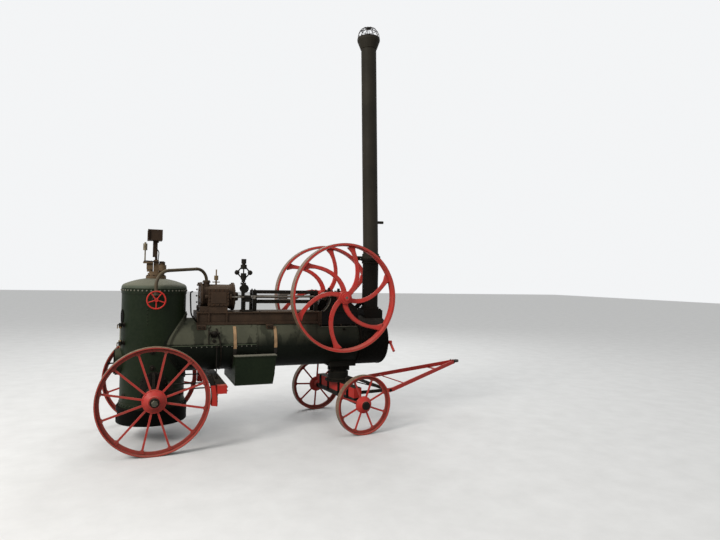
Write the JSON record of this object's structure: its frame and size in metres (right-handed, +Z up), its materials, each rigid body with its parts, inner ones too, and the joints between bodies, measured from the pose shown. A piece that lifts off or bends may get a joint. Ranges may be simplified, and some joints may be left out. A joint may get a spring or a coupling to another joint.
{
  "type": "portable steam engine",
  "caption": "Towed steam engine with upright firebox, long barrel, folding chimney, horizontal cylinder, curved-spoke flywheels, spoked iron wheels, steering carriage and A-frame drawbar.",
  "frame": {"origin": "ground level, midway between the rear wheels' rear edge and the drawbar eye's front edge, on the middle plane", "axes": "+X forward towards the drawbar, +Y to the left side, +Z up"},
  "size_m": [5.545, 1.846, 6.0311],
  "materials": {
    "boiler_paint": "satin",
    "dome_paint": "matte",
    "black_paint": "satin",
    "stack_paint": "matte",
    "dark_iron": "matte",
    "rusty_casting": "matte",
    "red_paint": "satin",
    "worked_steel": "satin",
    "dull_brass": "satin",
    "ochre_strap": "matte"
  },
  "bodies": {
    "root": {"firebox_shell": "boiler_paint", "dome_cap": "dome_paint", "ashpan": "black_paint", "grate": "dark_iron", "barrel": "boiler_paint", "tube_plate": "black_paint", "smokebox": "black_paint", "chimney_base": "black_paint", "safety_valve": "rusty_casting", "chimney_crutch": "rusty_casting", "whistle": "dull_brass", "water_gauge": "dull_brass", "stop_valve": "dark_iron", "steam_pipe": "dark_iron", "exhaust_pipe": "black_paint", "engine_bed": "rusty_casting", "engine_cylinder": "rusty_casting", "valve_chest": "rusty_casting", "lubricator": "dull_brass", "guide_bars": "dark_iron", "crosshead": "worked_steel", "connecting_rod": "worked_steel", "eccentric_rod": "worked_steel", "main_bearings": "dark_iron", "governor_stand": "dark_iron", "check_valve": "dark_iron", "tank": "boiler_paint", "tank_straps": "ochre_strap", "axle_brackets": "dark_iron", "brake_gear": "red_paint", "front_pedestal": "black_paint"},
    "fire_door": {"fire_door": "black_paint"},
    "smokebox_door": {"smokebox_door": "black_paint"},
    "chimney": {"chimney_stack": "stack_paint", "spark_arrestor": "dark_iron"},
    "crankshaft": {"crankshaft": "worked_steel", "flywheel_left": "red_paint", "flywheel_right": "red_paint"},
    "governor": {"governor_head": "dark_iron"},
    "rear_wheel_left": {"rear_wheel_left": "red_paint"},
    "rear_wheel_right": {"rear_wheel_right": "red_paint"},
    "front_carriage": {"front_carriage": "red_paint"},
    "drawbar": {"drawbar": "red_paint"},
    "front_wheel_left": {"front_wheel_left": "red_paint"},
    "front_wheel_right": {"front_wheel_right": "red_paint"}
  },
  "joints": [
    {"name": "rear_wheel_left_spin", "type": "hinge", "parent": "root", "child": "rear_wheel_left", "pos_m": [-2.12751, 0.803, 0.645], "axis": [0, 1, 0], "continuous": true},
    {"name": "rear_wheel_right_spin", "type": "hinge", "parent": "root", "child": "rear_wheel_right", "pos_m": [-2.12751, -0.803, 0.645], "axis": [0, 1, 0], "continuous": true},
    {"name": "steering", "type": "hinge", "parent": "root", "child": "front_carriage", "pos_m": [0.49549, 0, 0.5], "axis": [0, 0, 1], "range_deg": [-51, 39]},
    {"name": "front_wheel_left_spin", "type": "hinge", "parent": "front_carriage", "child": "front_wheel_left", "pos_m": [0.41239, 0.79065, 0.408], "axis": [-0.1045, 0.9945, 0], "continuous": true},
    {"name": "front_wheel_right_spin", "type": "hinge", "parent": "front_carriage", "child": "front_wheel_right", "pos_m": [0.57859, -0.79065, 0.408], "axis": [-0.1045, 0.9945, 0], "continuous": true},
    {"name": "drawbar_lift", "type": "hinge", "parent": "front_carriage", "child": "drawbar", "pos_m": [1.1101, 0.0646, 0.5], "axis": [0.1045, -0.9945, 0], "range_deg": [-24, 20]},
    {"name": "crankshaft_turn", "type": "hinge", "parent": "root", "child": "crankshaft", "pos_m": [0.39049, 0, 1.871], "axis": [0, 1, 0], "continuous": true},
    {"name": "governor_turn", "type": "hinge", "parent": "root", "child": "governor", "pos_m": [-0.98751, -0.13, 2], "axis": [0, 0, 1], "continuous": true},
    {"name": "chimney_fold", "type": "hinge", "parent": "root", "child": "chimney", "pos_m": [0.76249, 0, 2.455], "axis": [0, -1, 0], "range_deg": [0, 87.1]},
    {"name": "fire_door_swing", "type": "hinge", "parent": "root", "child": "fire_door", "pos_m": [-2.59151, 0.19, 1.01], "axis": [0, 0, -1], "range_deg": [0, 110]},
    {"name": "smokebox_door_swing", "type": "hinge", "parent": "root", "child": "smokebox_door", "pos_m": [1.18349, 0.314, 1.214], "axis": [0, 0, 1], "range_deg": [0, 120]}
  ]
}
